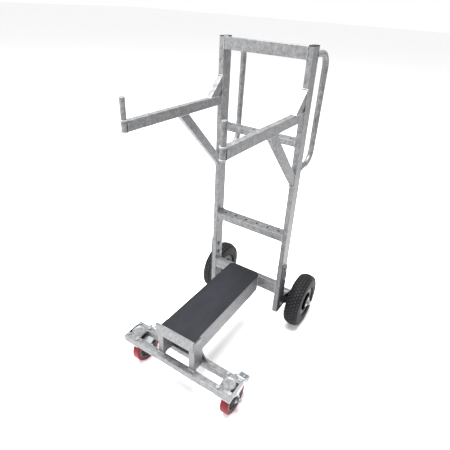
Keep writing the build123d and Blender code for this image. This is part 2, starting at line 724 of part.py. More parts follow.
with BuildPart() as caster_top_plates:
    for x, y in CASTER_CENTRES:
        with BuildSketch(Plane.XY.offset(FOOT_BOTTOM)):
            with Locations((x, y)):
                RectangleRounded(CASTER_PLATE_X, FOOT_DEPTH, CASTER_PLATE_T)
        extrude(amount=-CASTER_PLATE_T)
        with BuildSketch(Plane.XY.offset(PLATE_BOTTOM)):
            with Locations((x, y)):
                Circle(RACE_R + BALL_D)
                Circle(RACE_R - BALL_D, mode=Mode.SUBTRACT)
        extrude(amount=RACE_BOTTOM - PLATE_BOTTOM)
        with BuildSketch(Plane(origin=(x, y, BALL_Z), x_dir=(1, 0, 0), z_dir=(0, -1, 0))):
            with Locations((RACE_R, 0)):
                Circle(BALL_D / 2 + BALL_FIT)
        revolve(axis=Axis((x, y, 0), (0, 0, 1)), mode=Mode.SUBTRACT)
        with BuildSketch(Plane.XY.offset(FOOT_BOTTOM)):
            with Locations((x, y)):
                Circle(KINGPIN_D / 2)
            with Locations(*BOLT_SPOTS):
                Circle(BOLT_D / 2 + BOLT_FIT)
        extrude(amount=-CASTER_PLATE_T, mode=Mode.SUBTRACT)
save(caster_top_plates, "caster_top_plates")

with BuildPart() as swivel_balls:
    for x, y in CASTER_CENTRES:
        with Locations((x, y, BALL_Z)):
            with PolarLocations(RACE_R, BALL_COUNT):
                Sphere(BALL_D / 2)
save(swivel_balls, "swivel_balls")

with BuildPart() as kingpins:
    for x, y in CASTER_CENTRES:
        low_head = CROWN_BOTTOM - BALL_FIT - KINGPIN_HEAD_H
        for base, height, width in (
            (low_head, KINGPIN_HEAD_H, KINGPIN_HEAD_D),
            (low_head, FOOT_BOTTOM - low_head, KINGPIN_D),
            (FOOT_BOTTOM, KINGPIN_HEAD_H, KINGPIN_HEAD_D),
        ):
            with BuildSketch(Plane.XY.offset(base)):
                with Locations((x, y)):
                    Circle(width / 2)
            extrude(amount=height)
save(kingpins, "kingpins")

# ---------------------------------------------------------------- casters
PIVOT_REACH = CASTER_D / 2 + PEDAL_PIVOT_GAP
PIVOT_TURN = radians(PEDAL_PIVOT_ANGLE)
PEDAL_PIVOT = (
    CASTER_AXLE_Y + PIVOT_REACH * cos(PIVOT_TURN),
    CASTER_AXLE_Z + PIVOT_REACH * sin(PIVOT_TURN),
)
FORK_OUTSIDE = FORK_INSIDE / 2 + FORK_T
AXLE_BOSS_R = 15.0
FORK_FRONT_Y = FOOT_Y - 23.0
FORK_SHOULDER_Y = FOOT_Y + 19.0
FORK_NECK = (FOOT_Y + 26.0, CROWN_TOP - 7.5)
PEDAL_HUB_R = 6.0
PAD_FRONT_Y = CASTER_AXLE_Y + CASTER_D / 2 - 2
PAD_TOP = CASTER_AXLE_Z + CASTER_D * 0.232
PAD_SKIRT = 7.0
AXLE_HEX = 17.0
AXLE_HEAD_H = 6.4
CAP_NUT_H = 18.0
CAP_NUT_FLATS_H = 9.0
CAP_NUT_STEP = 0.5
CAP_NUT_ROUND = 6.0
axle_point = (CASTER_AXLE_Y, CASTER_AXLE_Z)

for side, sign in SIDES:
    centre_x = sign * CASTER_X
    section = wheel_plane(centre_x, CASTER_AXLE_Y, CASTER_AXLE_Z)
    roll_axis = Axis((centre_x, CASTER_AXLE_Y, CASTER_AXLE_Z), (1, 0, 0))

    with BuildPart() as caster_fork:
        with BuildSketch(side_plane(centre_x)):
            with BuildLine():
                Polyline(
                    (FORK_FRONT_Y, CROWN_TOP),
                    (FORK_FRONT_Y, CROWN_BOTTOM - FORK_T),
                    tangent_point((FORK_FRONT_Y, CROWN_BOTTOM - FORK_T), axle_point, AXLE_BOSS_R, -1),
                    axle_point,
                    tangent_point(PEDAL_PIVOT, axle_point, AXLE_BOSS_R, 1),
                    (PEDAL_PIVOT[0] + PEDAL_EAR_R * 0.7, PEDAL_PIVOT[1] - PEDAL_EAR_R * 0.7),
                    PEDAL_PIVOT,
                    (PEDAL_PIVOT[0] + PEDAL_EAR_R * 0.13, PEDAL_PIVOT[1] + PEDAL_EAR_R * 0.99),
                    FORK_NECK,
                    (FORK_SHOULDER_Y, CROWN_TOP),
                    close=True,
                )
            make_face()
            with Locations(axle_point):
                Circle(AXLE_BOSS_R)
            with Locations(PEDAL_PIVOT):
                Circle(PEDAL_EAR_R)
        extrude(amount=FORK_OUTSIDE, both=True)
        with BuildSketch(Plane.XZ.offset(-PEDAL_PIVOT[0] - PEDAL_EAR_R)):
            with Locations((centre_x, CROWN_BOTTOM / 2)):
                Rectangle(FORK_INSIDE, CROWN_BOTTOM)
        extrude(amount=PEDAL_PIVOT[0] + 2 * PEDAL_EAR_R - FORK_FRONT_Y, mode=Mode.SUBTRACT)
        with BuildSketch(Plane.XY.offset(CROWN_BOTTOM)):
            with Locations((centre_x, FOOT_Y)):
                Circle(CROWN_D / 2)
        extrude(amount=CROWN_T)
        with BuildSketch(Plane.XY.offset(CROWN_TOP)):
            with Locations((centre_x, FOOT_Y)):
                Circle(KINGPIN_D / 2 + KINGPIN_FIT)
        extrude(amount=-CROWN_T, mode=Mode.SUBTRACT)
        with BuildSketch(Plane(origin=(centre_x, FOOT_Y, BALL_Z), x_dir=(1, 0, 0), z_dir=(0, -1, 0))):
            with Locations((RACE_R, 0)):
                Circle(BALL_D / 2 + BALL_FIT)
        revolve(axis=Axis((centre_x, FOOT_Y, 0), (0, 0, 1)), mode=Mode.SUBTRACT)
        with BuildSketch(side_plane(centre_x)):
            with Locations(axle_point):
                Circle(CASTER_AXLE_D / 2)
            with Locations(PEDAL_PIVOT):
                Circle(PEDAL_PIN_D / 2)
        extrude(amount=FORK_OUTSIDE, both=True, mode=Mode.SUBTRACT)
    save(caster_fork, f"caster_fork_{side}")

    with BuildPart() as caster_core:
        with BuildSketch(section):
            with BuildLine():
                Polyline(
                    (CASTER_CORE_D / 2, 0),
                    (CASTER_CORE_D / 2, CASTER_W / 2 - 1.5),
                    (CASTER_CORE_D / 2 - 4, CASTER_W / 2 - 1.5),
                    (CASTER_CORE_D / 2 - 7, 5),
                    (CASTER_HUB_D / 2, 6),
                    (CASTER_HUB_D / 2, CASTER_HUB_W / 2),
                    (CASTER_BEARING_D / 2, CASTER_HUB_W / 2),
                    (CASTER_BEARING_D / 2, CASTER_HUB_W / 2 - CASTER_BEARING_W),
                    (CASTER_AXLE_D / 2 + 4, CASTER_HUB_W / 2 - CASTER_BEARING_W),
                    (CASTER_AXLE_D / 2 + 4, 0),
                    close=True,
                )
            make_face()
            mirror(about=Plane.XZ)
        revolve(axis=roll_axis)
    save(caster_core, f"caster_core_{side}")

    with BuildPart() as caster_tread:
        with BuildSketch(section):
            with Locations(((CASTER_CORE_D / 2 + CASTER_D / 2) / 2, 0)):
                Rectangle((CASTER_D - CASTER_CORE_D) / 2, CASTER_W)
            fillet(vertices().group_by(Axis.Z)[-1], radius=5.0)
        revolve(axis=roll_axis)
    save(caster_tread, f"caster_tread_{side}")

    with BuildPart() as caster_bearings:
        for face, inward in ((CASTER_HUB_W / 2, -1), (-CASTER_HUB_W / 2, 1)):
            with BuildSketch(side_plane(centre_x + face)):
                with Locations(axle_point):
                    Circle(CASTER_BEARING_D / 2)
                    Circle(CASTER_AXLE_D / 2 + AXLE_FIT, mode=Mode.SUBTRACT)
            extrude(amount=inward * CASTER_BEARING_W)
    save(caster_bearings, f"caster_bearings_{side}")

    with BuildPart() as caster_axle:
        with BuildSketch(side_plane(centre_x + sign * FORK_OUTSIDE)):
            with Locations(axle_point):
                RegularPolygon(AXLE_HEX / 2, 6, major_radius=False)
        extrude(amount=sign * CAP_NUT_FLATS_H)
        with BuildSketch(side_plane(centre_x + sign * FORK_OUTSIDE)):
            with Locations(axle_point):
                Circle(AXLE_HEX / 2 - CAP_NUT_STEP)
        extrude(amount=sign * CAP_NUT_H)
        outermost = caster_axle.edges().filter_by(GeomType.CIRCLE).sort_by(Axis.X)
        fillet(outermost[-1 if sign > 0 else 0], radius=CAP_NUT_ROUND)
        with BuildSketch(side_plane(centre_x + sign * FORK_OUTSIDE)):
            with Locations(axle_point):
                Circle(CASTER_AXLE_D / 2 + AXLE_FIT)
        extrude(amount=sign * (CAP_NUT_FLATS_H + 1), mode=Mode.SUBTRACT)
        with BuildSketch(side_plane(centre_x - sign * FORK_OUTSIDE)):
            with Locations(axle_point):
                RegularPolygon(AXLE_HEX / 2, 6, major_radius=False)
        extrude(amount=-sign * AXLE_HEAD_H)
        with BuildSketch(side_plane(centre_x - sign * FORK_OUTSIDE)):
            with Locations(axle_point):
                Circle(CASTER_AXLE_D / 2)
        extrude(amount=sign * (2 * FORK_OUTSIDE + CAP_NUT_FLATS_H))
    save(caster_axle, f"caster_axle_{side}")

    with BuildPart() as brake_pedal:
        lever_end = (PAD_FRONT_Y + PEDAL_T / 2, PAD_TOP - PEDAL_T / 2)
        lever_y = (PEDAL_PIVOT[0] + lever_end[0]) / 2
        lever_z = (PEDAL_PIVOT[1] + lever_end[1]) / 2
        lever_dy = lever_end[0] - PEDAL_PIVOT[0]
        lever_dz = lever_end[1] - PEDAL_PIVOT[1]
        with BuildSketch(side_plane(centre_x)):
            with Locations(PEDAL_PIVOT):
                Circle(PEDAL_HUB_R)
            with Locations((lever_y, lever_z)):
                Rectangle(sqrt(lever_dy**2 + lever_dz**2), PEDAL_T,
                          rotation=degrees(atan2(lever_dz, lever_dy)))
            with Locations((PAD_FRONT_Y + PEDAL_T / 2, PAD_TOP - PEDAL_T / 2)):
                Circle(PEDAL_T / 2)
            with Locations(PEDAL_PIVOT):
                Circle(PEDAL_PIN_D / 2 + PEDAL_PIN_FIT, mode=Mode.SUBTRACT)
        extrude(amount=PEDAL_W / 2, both=True)
        with BuildSketch(Plane.XY.offset(PAD_TOP)):
            with Locations((centre_x, PAD_FRONT_Y + PEDAL_LENGTH / 2)):
                Rectangle(PEDAL_PAD_W, PEDAL_LENGTH)
            fillet(vertices().group_by(Axis.Y)[-1], radius=8.0)
        extrude(amount=-PAD_SKIRT)
        with BuildSketch(Plane.XY.offset(PAD_TOP - PEDAL_T)):
            with Locations((centre_x, PAD_FRONT_Y + PEDAL_LENGTH / 2 - PEDAL_T)):
                Rectangle(PEDAL_PAD_W - 2 * PEDAL_T, PEDAL_LENGTH)
            fillet(vertices().group_by(Axis.Y)[-1], radius=6.0)
        extrude(amount=-PAD_SKIRT, mode=Mode.SUBTRACT)
    save(brake_pedal, f"brake_pedal_{side}")

    with BuildPart() as brake_pin:
        with BuildSketch(side_plane(centre_x)):
            with Locations(PEDAL_PIVOT):
                Circle(PEDAL_PIN_D / 2)
        extrude(amount=FORK_OUTSIDE, both=True)
        for face in (-1, 1):
            with BuildSketch(side_plane(centre_x + face * FORK_OUTSIDE)):
                with Locations(PEDAL_PIVOT):
                    Circle(PEDAL_PIN_D * 0.75)
            extrude(amount=face * 2.0)
    save(brake_pin, f"brake_pin_{side}")

# ---------------------------------------------------------------- fasteners
with BuildPart() as bracket_bolts:
    for side, sign in SIDES:
        with BuildSketch(side_plane(sign * BRACKET_OUT)):
            with Locations(*[(UPRIGHT_Y, z) for z in BRACKET_BOLT_Z]):
                RegularPolygon(BOLT_AF / 2, 6, major_radius=False)
        extrude(amount=sign * BOLT_HEAD_H)
        with BuildSketch(side_plane(sign * BRACKET_OUT)):
            with Locations(*[(UPRIGHT_Y, z) for z in BRACKET_BOLT_Z]):
                Circle(BOLT_D / 2)
        extrude(amount=-sign * (BRACKET_OUT - INNER_X + NUT_H + 2))
save(bracket_bolts, "bracket_bolts")

with BuildPart() as thread_inserts:
    for side, sign in SIDES:
        with BuildSketch(side_plane(sign * INNER_X)):
            with Locations((UPRIGHT_Y, INSERT_Z)):
                Circle(INSERT_FLANGE_D / 2)
        extrude(amount=-sign * INSERT_FLANGE_T)
        with BuildSketch(side_plane(sign * INNER_X)):
            with Locations((UPRIGHT_Y, INSERT_Z)):
                Circle(INSERT_D / 2)
        extrude(amount=sign * INSERT_LENGTH)
        with BuildSketch(side_plane(sign * (INNER_X - INSERT_FLANGE_T))):
            with Locations((UPRIGHT_Y, INSERT_Z)):
                Circle(BOLT_D / 2)
        extrude(amount=sign * (INSERT_LENGTH + INSERT_FLANGE_T), mode=Mode.SUBTRACT)
save(thread_inserts, "thread_inserts")

with BuildPart() as caster_bolts:
    with BuildSketch(Plane.XY.offset(FOOT_TOP)):
        with Locations(*BOLT_SPOTS):
            RegularPolygon(BOLT_AF / 2, 6, major_radius=False)
    extrude(amount=BOLT_HEAD_H)
    with BuildSketch(Plane.XY.offset(FOOT_TOP)):
        with Locations(*BOLT_SPOTS):
            Circle(BOLT_D / 2)
    extrude(amount=-(FOOT_TOP - PLATE_BOTTOM + NUT_H + 2))
save(caster_bolts, "caster_bolts")

with BuildPart() as lock_nuts:
    for side, sign in SIDES:
        with BuildSketch(side_plane(sign * INNER_X)):
            with Locations(*[(UPRIGHT_Y, z) for z in BRACKET_BOLT_Z]):
                RegularPolygon(BOLT_AF / 2, 6, major_radius=False)
                Circle(BOLT_D / 2, mode=Mode.SUBTRACT)
        extrude(amount=-sign * NUT_H)
    with BuildSketch(Plane.XY.offset(PLATE_BOTTOM)):
        with Locations(*BOLT_SPOTS):
            RegularPolygon(BOLT_AF / 2, 6, major_radius=False)
            Circle(BOLT_D / 2, mode=Mode.SUBTRACT)
    extrude(amount=-NUT_H)
save(lock_nuts, "lock_nuts")
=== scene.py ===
from math import atan2, cos, pi, radians, sin

import bmesh
import bpy
from mathutils import Matrix, Vector


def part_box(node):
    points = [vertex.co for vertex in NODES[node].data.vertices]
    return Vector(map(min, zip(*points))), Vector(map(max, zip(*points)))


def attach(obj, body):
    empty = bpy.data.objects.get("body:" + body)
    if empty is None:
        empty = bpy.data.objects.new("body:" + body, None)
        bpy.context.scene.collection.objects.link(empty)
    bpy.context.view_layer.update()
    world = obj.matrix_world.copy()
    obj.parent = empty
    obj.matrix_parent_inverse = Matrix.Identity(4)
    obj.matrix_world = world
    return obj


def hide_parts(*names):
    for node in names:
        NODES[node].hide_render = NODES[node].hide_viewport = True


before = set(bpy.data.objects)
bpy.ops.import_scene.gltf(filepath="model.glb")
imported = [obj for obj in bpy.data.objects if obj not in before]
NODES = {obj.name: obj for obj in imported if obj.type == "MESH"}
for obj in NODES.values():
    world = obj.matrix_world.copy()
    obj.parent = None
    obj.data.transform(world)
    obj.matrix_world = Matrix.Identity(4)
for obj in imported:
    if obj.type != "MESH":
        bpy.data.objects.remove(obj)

bl_info = {
    "name": "Castered Carrying Cart",
    "version": (1, 0, 0),
    "blender": (4, 5, 0),
    "location": "View3D > Sidebar > Cart",
    "description": "Welds, tyres, finishes and a studio for a two-wheeled cart with a castered foot",
    "category": "Object",
}

SIDES = (("left", -1), ("right", 1))
MM = 0.001

# Sizes that no node's box gives
BEAM_SIDE = 25 * MM            # foot beams, legs and deck rails, across
END_STRIP = 3 * MM             # thickness of the strips that close the foot's beams
PLATE_INNER = 25 * MM          # carrier plate, from the caster's middle towards the deck
PLATE_OUTER = 18 * MM          # carrier plate, from the caster's middle outwards
PLATE_ACROSS = 42 * MM         # carrier plate, from one beam to the other
DOME_FOOT = 27 * MM            # radius of a carrier plate's dome where it leaves the plate
DOME_CREST = 24.5 * MM
DOME_RIM = 4 * MM              # width of the dome's rim
DOME_SINK = 1.4 * MM           # depth of the dome's crown below its rim
BRACE_HALF = 8.5 * MM          # arm braces, half their width
BRACE_ON_UPRIGHT = 45.6 * MM   # length of a brace's cut end on the upright
BRACE_ON_ARM = 44.9 * MM
STRUT_HALF = 10 * MM           # arm struts, half their width
STRUT_ON_UPRIGHT = 44.6 * MM   # length of a strut's cut end on the upright
STRUT_ON_ARM = 45.9 * MM
POST_RADIUS = 8 * MM
HANDLE_RADIUS = 11 * MM
AXLE_TUBE_RADIUS = 24 * MM

# Rear tyre
TREAD_HALF = 29 * MM           # half the width of the tread's arch
TREAD_FALL = 9 * MM            # fall of the arch from its crown to its edges
SHOULDER = TREAD_HALF - 1 * MM  # where the sidewall meets the arch, from the middle
ARCH_POINTS = range(24, -25, -6)                    # mm from the middle
RIM_SEAT = ((-11, 22.6), (0, 22.8), (4, 27.5))      # mm beyond the rim, mm from the middle
SIDEWALL = ((9, 2.4), (11, 1.0), (14, 1.6), (24, 0.6), (34, 1.6), (42, 3.6),
            (44, 2.6), (46, 4.4))                   # mm beyond the rim, mm in from the widest
TREAD_ROWS = ((-24.5, 8.5, 0.0), (-12.5, 8.5, 0.5), (0.0, 9.0, 0.0),
              (12.5, 8.5, 0.5), (24.5, 8.5, 0.0))   # mm from the middle, mm wide, part of a pitch
BLOCK_LENGTH = 0.62            # part of the pitch that a block fills
BLOCK_HEIGHT = 4.8 * MM
BLOCK_SET_BACK = 0.35 * MM     # block tops below the tyre's full radius
TYRE_STEPS = 112

# Ribs of the caster cores and of the brake pedals
CORE_RIB = (8 * MM, 3 * MM, 26 * MM)
CORE_RIB_OFFSET = 9.5 * MM     # rib's middle from the wheel's middle, along the axle
CORE_RIB_RADIUS = 30.5 * MM    # rib's middle from the axle
PEDAL_RIBS = 4
PEDAL_RIB_RADIUS = 1.3 * MM
PEDAL_RIB_LENGTH = 30 * MM
PEDAL_RIB_FIRST = 7 * MM       # first rib from the pedal's front edge
PEDAL_RIB_PITCH = 6 * MM
PEDAL_PAD_RISE = 10 * MM       # pad's face above the pedal's lowest point

# Studio: name, place, aim, size in metres and watts
LAMPS = (
    ("Overhead", (-0.3, -0.4, 4.2), (0.0, 0.0, 0.4), 2.6, 580.0),
    ("Front left", (-2.4, -3.2, 2.2), (0.0, -0.1, 0.5), 2.0, 120.0),
)
FLOOR_SIZE = 40.0
CAMERA_TURN, CAMERA_RISE, CAMERA_ROLL = radians(30.07), radians(29.225), radians(3.779)
CAMERA_PLACE = (0.6397, -1.1101, 1.3283)
CAMERA_LENS = 30.65            # mm, on a sensor 36 mm wide
CAMERA_SHIFT = (-0.0237, -0.0191)


# ------------------------------------------------------------------ settings
class CartSizes(bpy.types.PropertyGroup):
    bead_radius: bpy.props.FloatProperty(
        name="Weld bead", description="Radius of the weld beads",
        default=2.8 * MM, unit="LENGTH")
    bead_pitch: bpy.props.FloatProperty(
        name="Bead pitch", description="Distance from one ripple of a weld to the next",
        default=2.6 * MM, unit="LENGTH")
    edge_round: bpy.props.FloatProperty(
        name="Edge round", description="Width of the broken edges of cut metal",
        default=0.5 * MM, unit="LENGTH")
    tread_depth: bpy.props.FloatProperty(
        name="Tread depth", description="Depth of the grooves between the tyre blocks",
        default=3.6 * MM, unit="LENGTH")
    tread_blocks: bpy.props.IntProperty(
        name="Tread blocks", description="Blocks in one row round a tyre", default=46, min=12)
    core_ribs: bpy.props.IntProperty(
        name="Core ribs", description="Ribs on each side of a caster wheel's core",
        default=10, min=3)


class CartColours(bpy.types.PropertyGroup):
    metal: bpy.props.FloatVectorProperty(
        name="Mill metal", description="Bare metal of the frame",
        default=(0.108, 0.109, 0.112), size=3, subtype="COLOR")
    zinc: bpy.props.FloatVectorProperty(
        name="Zinc", description="Plated forks and fasteners",
        default=(0.26, 0.275, 0.29), size=3, subtype="COLOR")
    bracket_dark: bpy.props.FloatVectorProperty(
        name="Near-black bracket plate", description="Near-black axle brackets",
        default=(0.010, 0.010, 0.011), size=3, subtype="COLOR")
    grip: bpy.props.FloatVectorProperty(
        name="Deck grip", description="Gripping sheet of the deck",
        default=(0.0055, 0.0057, 0.0080), size=3, subtype="COLOR")
    tyre: bpy.props.FloatVectorProperty(
        name="Tyre", description="Rubber of the rear tyres",
        default=(0.0025, 0.0025, 0.0028), size=3, subtype="COLOR")
    tread: bpy.props.FloatVectorProperty(
        name="Caster tread", description="Red tread of the casters",
        default=(0.115, 0.004, 0.009), size=3, subtype="COLOR")
    bearing: bpy.props.FloatVectorProperty(
        name="Bearing steel", description="Polished bearings and swivel balls",
        default=(0.62, 0.62, 0.63), size=3, subtype="COLOR")
    core: bpy.props.FloatVectorProperty(
        name="Caster core", description="Grey core of the caster wheels",
        default=(0.075, 0.080, 0.077), size=3, subtype="COLOR")


# ------------------------------------------------------------------ shader maths
class Wire:
    """A number socket that can be added, multiplied and taken from a number."""

    def __init__(self, shop, socket):
        self.shop = shop
        self.socket = socket

    def _maths(self, operation, *values):
        node = self.shop.node("ShaderNodeMath", {"operation": operation},
                              dict(enumerate(values)))
        return Wire(self.shop, node.outputs[0])

    def __add__(self, other):
        return self._maths("ADD", self, other)

    def __rsub__(self, other):
        return self._maths("SUBTRACT", other, self)

    def __mul__(self, other):
        return self._maths("MULTIPLY", self, other)

    __radd__ = __add__
    __rmul__ = __mul__


class Shop:
    """Builds one material's nodes."""

    def __init__(self, name):
        self.material = bpy.data.materials.new(name)
        self.material.use_nodes = True
        self.tree = self.material.node_tree
        self.tree.nodes.clear()

    def node(self, kind, settings=None, inputs=None):
        """A node of that type, with its settings and then its socket values or links."""
        made = self.tree.nodes.new(kind)
        for key, value in (settings or {}).items():
            if key == "stops":
                while len(made.color_ramp.elements) < len(value):
                    made.color_ramp.elements.new(0.5)
                for stop, (place, grey) in zip(made.color_ramp.elements, value):
                    stop.position = place
                    stop.color = (grey, grey, grey, 1.0)
            else:
                setattr(made, key, value)
        for key, value in (inputs or {}).items():
            if isinstance(value, Wire):
                value = value.socket
            if isinstance(value, bpy.types.NodeSocket):
                self.tree.links.new(value, made.inputs[key])
            else:
                made.inputs[key].default_value = value
        return made

    def place(self):
        return self.node("ShaderNodeTexCoord").outputs["Object"]

    def noise(self, scale, detail, roughness, stretch=None):
        """Cloudy noise; scale is in waves per metre."""
        where = self.place()
        if stretch:
            where = self.node("ShaderNodeMapping", {}, {"Vector": where, "Scale": stretch})
            where = where.outputs[0]
        made = self.node("ShaderNodeTexNoise", {}, {
            "Vector": where, "Scale": scale, "Detail": detail, "Roughness": roughness})
        return Wire(self, made.outputs[0])

    def cells(self, scale):
        """Distance from the middle of the nearest cell; scale is in cells per metre."""
        made = self.node("ShaderNodeTexVoronoi", {"feature": "F1"}, {
            "Vector": self.place(), "Scale": scale})
        return Wire(self, made.outputs["Distance"])

    def ramp(self, value, *stops):
        """Grey ramp; each stop is (place, grey)."""
        made = self.node("ShaderNodeValToRGB", {"stops": stops}, {0: value})
        return Wire(self, made.outputs[0])

    def blend(self, amount, dark, light):
        made = self.node("ShaderNodeMix", {"data_type": "RGBA"}, {
            0: amount, 6: (*dark, 1.0), 7: (*light, 1.0)})
        return made.outputs[2]

    def bump(self, height, distance, strength=1.0):
        made = self.node("ShaderNodeBump", {}, {
            "Height": height, "Distance": distance, "Strength": strength})
        return made.outputs[0]

    def surface(self, **inputs):
        """The finished material; inputs are the shader's sockets with spaces as underscores."""
        named = {key.replace("_", " "): value for key, value in inputs.items()}
        shader = self.node("ShaderNodeBsdfPrincipled", {}, named)
        self.node("ShaderNodeOutputMaterial", {}, {"Surface": shader.outputs[0]})
        return self.material


def shade(colour, factor):
    return tuple(min(1.0, part * factor) for part in colour)


def mill_metal(name, colour, darkest=0.48, lightest=1.62):
    """Bare extruded metal: cloudy spangle, fine die lines and dull patches."""
    shop = Shop(name)
    cloud = shop.noise(58.0, 5.0, 0.68)
    spangle = shop.ramp(shop.cells(150.0), (0.1, 0.25), (0.75, 0.75))
    fine = shop.noise(520.0, 2.0, 0.5)
    mix = cloud * 0.62 + spangle * 0.22 + fine * 0.16
    tone = shop.ramp(mix, (0.33, 0.0), (0.64, 1.0))
    height = fine * 0.4 + cloud * 0.6
    return shop.surface(
        Base_Color=shop.blend(tone, shade(colour, darkest), shade(colour, lightest)),
        Metallic=0.55,
        Roughness=0.34 + 0.26 * cloud,
        Normal=shop.bump(height, 0.25 * MM, 0.5),
    )


def weld_metal(name, colour):
    """Bright rippled weld with sooty spots."""
    shop = Shop(name)
    soot = shop.noise(260.0, 4.0, 0.6)
    return shop.surface(
        Base_Color=shop.blend(shop.ramp(soot, (0.35, 0.0), (0.6, 1.0)),
                              shade(colour, 1.0), shade(colour, 2.4)),
        Metallic=0.6,
        Roughness=0.3 + 0.25 * soot,
        Normal=shop.bump(soot, 0.2 * MM, 0.4),
    )


def plated_steel(name, colour):
    """Bright zinc plate with faint clouding."""
    shop = Shop(name)
    cloud = shop.noise(120.0, 4.0, 0.6)
    return shop.surface(
        Base_Color=shop.blend(shop.ramp(cloud, (0.3, 0.0), (0.7, 1.0)),
                              shade(colour, 0.80), shade(colour, 1.15)),
        Metallic=0.75,
        Roughness=0.22 + 0.22 * cloud,
        Normal=shop.bump(cloud, 0.08 * MM, 0.4),
    )


def near_black_plate(name, colour):
    """Near-black plate with a fine bump and lighter worn patches at random."""
    shop = Shop(name)
    fine_bump = shop.noise(420.0, 2.0, 0.5)
    wear = shop.ramp(shop.noise(46.0, 5.0, 0.7), (0.60, 0.0), (0.74, 1.0))
    return shop.surface(
        Base_Color=shop.blend(wear * 0.5, colour, shade(colour, 3.2)),
        Roughness=0.36 + 0.16 * fine_bump,
        Specular_IOR_Level=0.3,
        Normal=shop.bump(fine_bump, 0.12 * MM, 0.5),
    )


def moulded(name, colour, roughness=0.5, grain=300.0):
    """Moulded plastic or rubber with a fine grain and dusty patches."""
    shop = Shop(name)
    fine = shop.noise(grain, 3.0, 0.6)
    dust = shop.ramp(shop.noise(28.0, 4.0, 0.6), (0.42, 0.0), (0.68, 1.0))
    return shop.surface(
        Base_Color=shop.blend(dust * 0.6, colour, shade(colour, 1.9)),
        Roughness=(roughness - 0.08) + 0.16 * fine,
        Specular_IOR_Level=0.14,
        Normal=shop.bump(fine, 0.10 * MM, 0.5),
    )


def gritted_sheet(name, colour):
    """Deck grip: coarse grit in a dark binder, scuffed lighter in places."""
    shop = Shop(name)
    grit = shop.cells(900.0)
    scuff = shop.ramp(shop.noise(16.0, 5.0, 0.65, (1.0, 0.35, 1.0)), (0.40, 0.0), (0.66, 1.0))
    sparkle = shop.ramp(shop.noise(1400.0, 1.0, 0.5), (0.55, 0.0), (0.72, 1.0))
    return shop.surface(
        Base_Color=shop.blend(scuff * 0.45 + sparkle * 0.35, colour, shade(colour, 2.3)),
        Roughness=0.62 + 0.2 * grit,
        Specular_IOR_Level=0.2,
        Normal=shop.bump(1.0 - grit, 0.35 * MM, 0.7),
    )


# ------------------------------------------------------------------ mesh helpers
def finish_piece(name, bm, body, material, flat=False):
    """Turn a bmesh into a finished piece that rides on a body."""
    mesh = bpy.data.meshes.new(name)
    bm.to_mesh(mesh)
    bm.free()
    piece = bpy.data.objects.new(name, mesh)
    bpy.context.scene.collection.objects.link(piece)
    mesh.materials.append(material)
    if not flat:
        mesh.shade_smooth()
    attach(piece, body)
    return piece


def round_edges(piece, width, segments=2, angle=32.0):
    bevel = piece.modifiers.new("Broken edges", "BEVEL")
    bevel.width = width
    bevel.segments = segments
    bevel.limit_method = "ANGLE"
    bevel.angle_limit = radians(angle)
    bevel.harden_normals = True
    bevel.miter_outer = "MITER_ARC"
    return piece


def dress(names, material, width=0.0):
    """Give CAD nodes a material and lightly broken edges."""
    for name in names:
        node = NODES[name]
        node.data.materials.clear()
        node.data.materials.append(material)
        if width:
            weld = node.modifiers.new("Joined corners", "WELD")
            weld.merge_threshold = 0.01 * MM
            round_edges(node, width)


def turned(bm, corners, centre, steps):
    """Solid of revolution about X: corners are (radius, offset along the axle)."""
    verts = [bm.verts.new(centre + Vector((offset, 0.0, radius))) for radius, offset in corners]
    edges = [bm.edges.new((a, b)) for a, b in zip(verts, verts[1:] + verts[:1])]
    bmesh.ops.spin(bm, geom=verts + edges, cent=centre, axis=(1.0, 0.0, 0.0), dvec=(0, 0, 0),
                   angle=2 * pi, steps=steps, use_merge=True, use_duplicate=False)
    bmesh.ops.recalc_face_normals(bm, faces=bm.faces)


class Stamp:
    """A small closed shape that is added to a bmesh many times."""

    def __init__(self, make):
        bm = bmesh.new()
        make(bm)
        bmesh.ops.recalc_face_normals(bm, faces=bm.faces)
        self.mesh = bpy.data.meshes.new("stamp")
        bm.to_mesh(self.mesh)
        bm.free()

    def press(self, bm, place):
        """Add the shape at place, which is a matrix."""
        self.mesh.transform(place)
        bm.from_mesh(self.mesh, face_normals=False, vertex_normals=False)
        self.mesh.transform(place.inverted())

    def done(self):
        bpy.data.meshes.remove(self.mesh)


def block_stamp(size):
    def make(bm):
        made = bmesh.ops.create_cube(bm, size=1.0)["verts"]
        bmesh.ops.scale(bm, vec=size, verts=made)
    return Stamp(make)


def bead_stamp(radius):
    def make(bm):
        bmesh.ops.create_uvsphere(bm, u_segments=8, v_segments=5, radius=radius)
    return Stamp(make)


def middle(name):
    low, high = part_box(name)
    return (low + high) / 2


# ------------------------------------------------------------------ welds
class Torch:
    """Lays one size of bead into a bmesh."""

    def __init__(self, bm, bead, pitch):
        self.bm = bm
        self.bead = bead
        self.pitch = pitch

    def line(self, start, end):
        """Overlapping beads from start to end."""
        start, end = Vector(start), Vector(end)
        run = end - start
        count = max(2, round(run.length / self.pitch))
        turn = run.to_track_quat("Z", "Y").to_matrix().to_4x4()
        for step in range(count + 1):
            place = Matrix.Translation(start + run * (step / count))
            self.bead.press(self.bm, place @ turn)

    def loop(self, corners):
        """Beads round a closed outline."""
        for start, end in zip(corners, corners[1:] + corners[:1]):
            self.line(start, end)

    def ring(self, centre, axis, radius):
        """Beads round a tube of that radius."""
        count = round(2 * pi * radius / self.pitch)
        turn = Vector(axis).to_track_quat("Z", "Y").to_matrix().to_4x4()
        out = Matrix.Translation((radius, 0, 0))
        for step in range(count):
            spin = Matrix.Rotation(2 * pi * step / count, 4, "Z")
            self.bead.press(self.bm, Matrix.Translation(centre) @ turn @ spin @ out)


